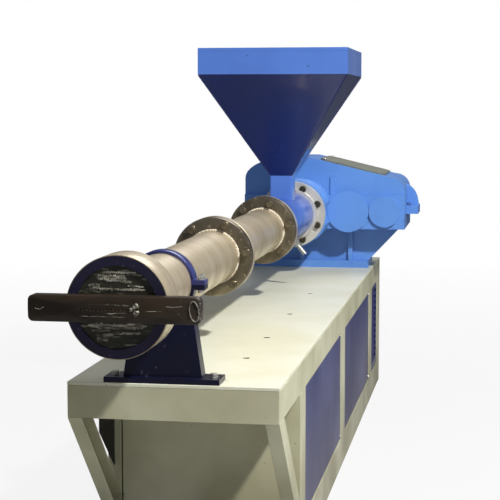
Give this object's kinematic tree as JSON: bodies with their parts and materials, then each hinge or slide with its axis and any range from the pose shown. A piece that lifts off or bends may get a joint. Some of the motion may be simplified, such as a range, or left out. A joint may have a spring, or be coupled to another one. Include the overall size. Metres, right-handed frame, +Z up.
{
  "type": "plastic pelletizing machine",
  "caption": "Strand pelletizing extruder: long barrel with a strand die head on a panelled table, square feed hopper and parallel-shaft gearbox.",
  "frame": {"origin": "middle of the machine's bounding box, on the floor", "axes": "+X to the right seen from the die head, +Y along the barrel from the die head to the gearbox, +Z up"},
  "size_m": [1.001, 4.687, 1.906],
  "materials": {
    "table_cream": "semi-gloss enamel",
    "frame_cream": "semi-gloss enamel",
    "panel_blue": "gloss enamel",
    "pedestal_navy": "gloss enamel",
    "clamp_blue": "gloss enamel",
    "turned_steel": "turned, oiled",
    "dark_flange": "oiled, dark",
    "die_steel": "dark, with residue",
    "feed_blue": "gloss enamel",
    "gear_blue": "gloss enamel on a casting",
    "hopper_navy": "gloss enamel",
    "hopper_blue": "gloss enamel",
    "light_steel": "machined",
    "plated": "plated"
  },
  "bodies": {
    "root": {"table_top": "table_cream", "front_rail": "frame_cream", "rear_beams": "frame_cream", "side_rail_left": "frame_cream", "side_rail_right": "frame_cream", "posts_left": "frame_cream", "posts_right": "frame_cream", "raked_leg_left": "frame_cream", "raked_leg_right": "frame_cream", "base_rail_left": "frame_cream", "base_rail_right": "frame_cream", "front_kick_plate": "frame_cream", "cross_members": "frame_cream", "anchor_plates": "frame_cream", "front_panel": "frame_cream", "rear_panel": "panel_blue", "side_panels_left": "panel_blue", "side_panels_right": "panel_blue", "louvre_panel_left": "panel_blue", "louvre_panel_right": "panel_blue", "pedestal": "pedestal_navy", "clamp_cap": "clamp_blue", "head_body": "turned_steel", "head_ring": "pedestal_navy", "die_disc": "die_steel", "die_bar": "die_steel", "barrel_front": "turned_steel", "flange_1_front": "dark_flange", "flange_1_rear": "turned_steel", "barrel_middle": "turned_steel", "flange_2_front": "dark_flange", "flange_2_rear": "turned_steel", "feed_section": "feed_blue", "feed_screw": "light_steel", "water_nipple": "plated", "hopper_neck": "feed_blue", "hopper_cone": "hopper_navy", "hopper_rim": "hopper_blue", "hopper_lip": "hopper_navy", "gearbox_flange": "light_steel", "gearbox_lower": "gear_blue", "gearbox_upper": "gear_blue", "bearing_caps": "gear_blue", "inspection_cover": "light_steel", "input_shaft": "light_steel"}
  },
  "joints": []
}
